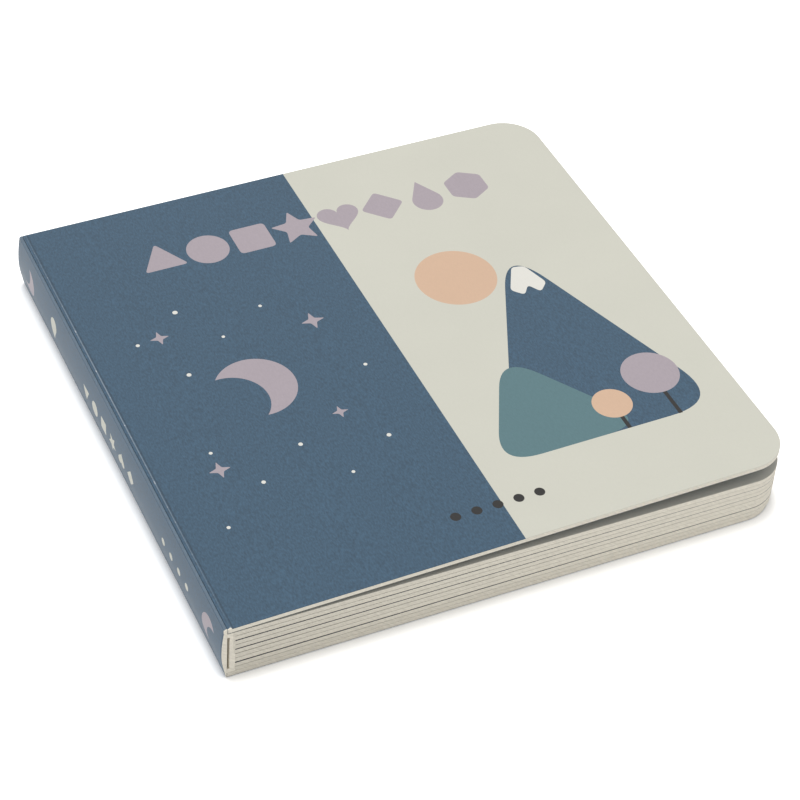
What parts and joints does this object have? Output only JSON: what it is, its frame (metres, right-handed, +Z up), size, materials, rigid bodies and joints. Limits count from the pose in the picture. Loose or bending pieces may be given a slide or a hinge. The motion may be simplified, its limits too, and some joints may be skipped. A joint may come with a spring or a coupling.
{
  "type": "board book",
  "caption": "Square board book with thick card leaves, a folded card cover hinged at two creases and rounded fore-edge corners.",
  "frame": {"origin": "the surface that the shut book lies on, under the middle of the book", "axes": "+X from the spine to the fore edge, +Y from the tail to the head of the pages, +Z up, out of the front cover"},
  "size_m": [0.1512, 0.15, 0.019],
  "materials": {
    "cover_card": "printed and laminated, matte",
    "leaf_card": "uncoated cut edges, matte"
  },
  "bodies": {
    "pages": {"page_block": "leaf_card", "spine_panel": "cover_card"},
    "front_board": {"front_cover": "cover_card"},
    "back_board": {"back_cover": "cover_card"}
  },
  "joints": [
    {"name": "front_cover_hinge", "type": "hinge", "parent": "pages", "child": "front_board", "pos_m": [-0.07422, 0, 0.01621], "axis": [0, -1, 0], "range_deg": [-1.5, 178.9]},
    {"name": "back_cover_hinge", "type": "hinge", "parent": "pages", "child": "back_board", "pos_m": [-0.07422, 0, 0], "axis": [0, 1, 0], "range_deg": [0, 180]}
  ]
}
